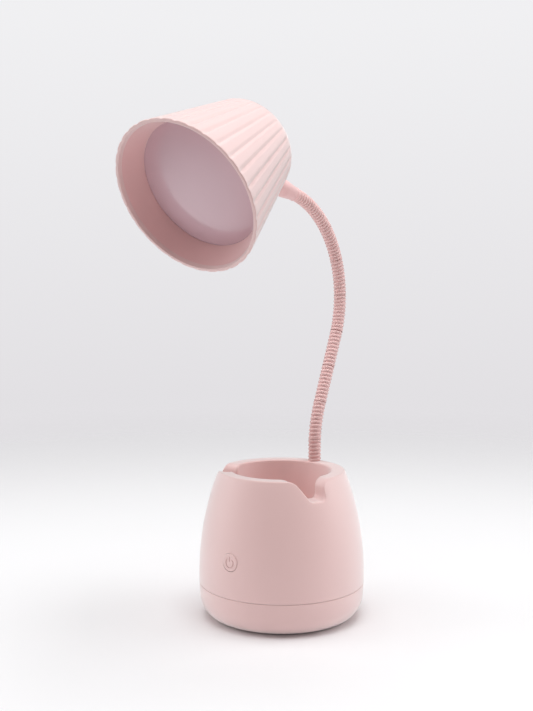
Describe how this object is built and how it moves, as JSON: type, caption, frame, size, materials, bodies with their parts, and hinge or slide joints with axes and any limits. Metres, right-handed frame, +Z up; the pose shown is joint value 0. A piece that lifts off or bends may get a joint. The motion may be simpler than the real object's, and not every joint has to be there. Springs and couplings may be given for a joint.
{
  "type": "desk lamp with pen holder",
  "caption": "Small cordless desk lamp: a fluted cone shade on a bendable ribbed neck that rises from a rounded pot base with a pen well, side rim notches and a push button.",
  "frame": {"origin": "centre of the foot's underside, on the table below the pot's axis", "axes": "+Z up; -Y toward the front, where the button is and the shade looks; +X toward the lamp's own left side, seen from behind to the right"},
  "size_m": [0.0998, 0.1746, 0.3041],
  "materials": {
    "pink_plastic": "satin",
    "pink_neck": "satin",
    "diffuser": "frosted",
    "grey_rubber": "matte",
    "steel": "plain",
    "ballast_iron": "plain",
    "brass": "plain",
    "cell_wrap": "gloss",
    "black_plastic": "matte",
    "white_plastic": "matte",
    "circuit_board": "satin",
    "light_board_white": "painted white",
    "led_yellow": "gloss"
  },
  "bodies": {
    "base": {"pot_shell": "pink_plastic", "base_cover": "pink_plastic", "non_slip_pad": "grey_rubber", "ballast_plate": "ballast_iron", "cover_screws": "steel", "battery_cradle": "black_plastic", "battery_cell": "cell_wrap", "cell_contacts": "steel", "main_board": "circuit_board", "board_parts": "black_plastic", "board_screws": "steel", "usb_socket": "steel", "button_board": "circuit_board", "tact_switch": "black_plastic", "neck_ferrule": "brass", "neck_washer": "steel", "neck_nut": "brass", "neck_stub": "pink_neck"},
    "button": {"power_button": "pink_plastic", "switch_plunger": "black_plastic"},
    "neck_1": {"neck_link_1": "pink_neck"},
    "neck_2": {"neck_link_2": "pink_neck"},
    "neck_3": {"neck_link_3": "pink_neck"},
    "neck_4": {"neck_link_4": "pink_neck"},
    "neck_5": {"neck_link_5": "pink_neck"},
    "neck_6": {"neck_link_6": "pink_neck"},
    "neck_7": {"neck_link_7": "pink_neck"},
    "head": {"neck_tip": "pink_neck", "neck_collar": "pink_plastic", "head_ferrule": "brass", "head_nut": "brass", "shade_shell": "pink_plastic", "light_tray": "white_plastic", "light_board": "light_board_white", "led_chips": "led_yellow", "tray_screws": "steel", "diffuser_dome": "diffuser", "diffuser_ring": "pink_plastic"}
  },
  "joints": [
    {"name": "power_press", "type": "slide", "parent": "base", "child": "button", "axis": [0, 1, 0], "range_m": [0, 0.0006], "stiffness_N_per_m": 1500, "springref_m": -0.0004},
    {"name": "neck_bend_1", "type": "hinge", "parent": "base", "child": "neck_1", "pos_m": [0, 0.03443, 0.10006], "axis": [1, 0, 0], "range_deg": [-20, 12]},
    {"name": "neck_sway_1", "type": "hinge", "parent": "neck_1", "child": "neck_2", "pos_m": [0, 0.03904, 0.12299], "axis": [0, 0.9332, -0.3594], "range_deg": [-20, 20]},
    {"name": "neck_bend_2", "type": "hinge", "parent": "neck_2", "child": "neck_3", "pos_m": [0, 0.04802, 0.14471], "axis": [1, 0, 0], "range_deg": [-20, 12]},
    {"name": "neck_bend_3", "type": "hinge", "parent": "neck_3", "child": "neck_4", "pos_m": [0, 0.057, 0.16642], "axis": [1, 0, 0], "range_deg": [-20, 12]},
    {"name": "neck_sway_2", "type": "hinge", "parent": "neck_4", "child": "neck_5", "pos_m": [0, 0.06168, 0.18932], "axis": [0, 0.9998, -0.0215], "range_deg": [-20, 20]},
    {"name": "neck_bend_4", "type": "hinge", "parent": "neck_5", "child": "neck_6", "pos_m": [0, 0.05799, 0.2124], "axis": [1, 0, 0], "range_deg": [-20, 8]},
    {"name": "neck_bend_5", "type": "hinge", "parent": "neck_6", "child": "neck_7", "pos_m": [0, 0.04643, 0.23271], "axis": [1, 0, 0], "range_deg": [-20, 8]},
    {"name": "neck_sway_3", "type": "hinge", "parent": "neck_7", "child": "head", "pos_m": [0, 0.02845, 0.24765], "axis": [0, 0.4913, 0.871], "range_deg": [-30, 30]}
  ]
}
